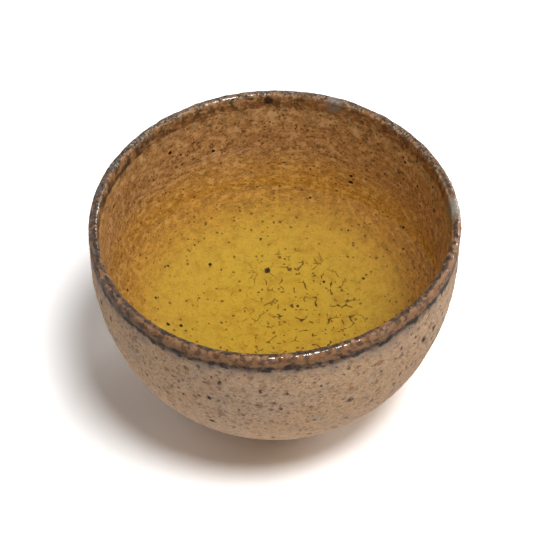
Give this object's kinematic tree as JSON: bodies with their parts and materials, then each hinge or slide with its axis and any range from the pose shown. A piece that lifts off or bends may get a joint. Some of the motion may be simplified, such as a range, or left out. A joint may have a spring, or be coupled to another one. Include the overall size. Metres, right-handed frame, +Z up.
{
  "type": "tea bowl",
  "caption": "Hand-thrown stoneware tea bowl on a low luted foot, glaze-lined, with an iron coat over the lip and clear tea standing in it.",
  "frame": {"origin": "centre of the foot ring's resting face, on the table", "axes": "+Z up along the bowl's axis; X and Y are any two level directions"},
  "size_m": [0.12, 0.12, 0.0772],
  "materials": {
    "bare_stoneware": "matte",
    "luting_slip": "matte",
    "lining_glaze": "satin",
    "iron_coat": "satin",
    "tea": "clear liquid"
  },
  "bodies": {
    "root": {"clay_body": "bare_stoneware", "foot_ring": "bare_stoneware", "luting_slip": "luting_slip", "glaze_lining": "lining_glaze", "lip_coat": "iron_coat", "tea": "tea"}
  },
  "joints": []
}
